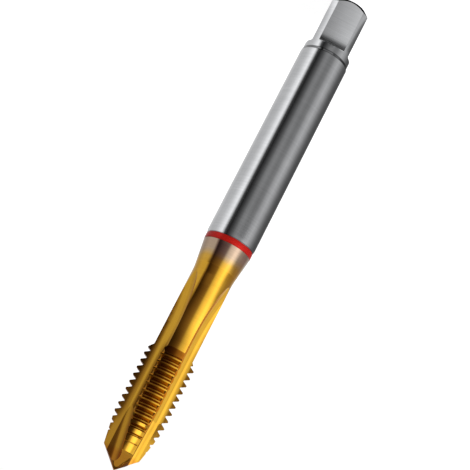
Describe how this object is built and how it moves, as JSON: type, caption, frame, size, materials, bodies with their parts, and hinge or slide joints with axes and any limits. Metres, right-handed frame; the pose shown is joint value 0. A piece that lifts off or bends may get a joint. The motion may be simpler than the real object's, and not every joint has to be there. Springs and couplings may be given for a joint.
{
  "type": "thread tap",
  "caption": "Machine tap for a metric thread, with a square drive end, ground shank, colour ring, waisted neck, straight flutes and a spiral point.",
  "frame": {"origin": "centre of the flat end face of the drive end, on which the tap stands", "axes": "+Z along the tap's axis from the drive end to the cutting tip; -Y square to one flat of the drive square and through the middle of one thread land"},
  "size_m": [0.01, 0.01, 0.1041],
  "materials": {
    "tool_steel": "ground high-speed steel; the neck and thread carry a thin gold nitride coating",
    "ring_lacquer": "gloss red lacquer"
  },
  "bodies": {
    "root": {"tap_body": "tool_steel", "colour_ring": "ring_lacquer"}
  },
  "joints": []
}
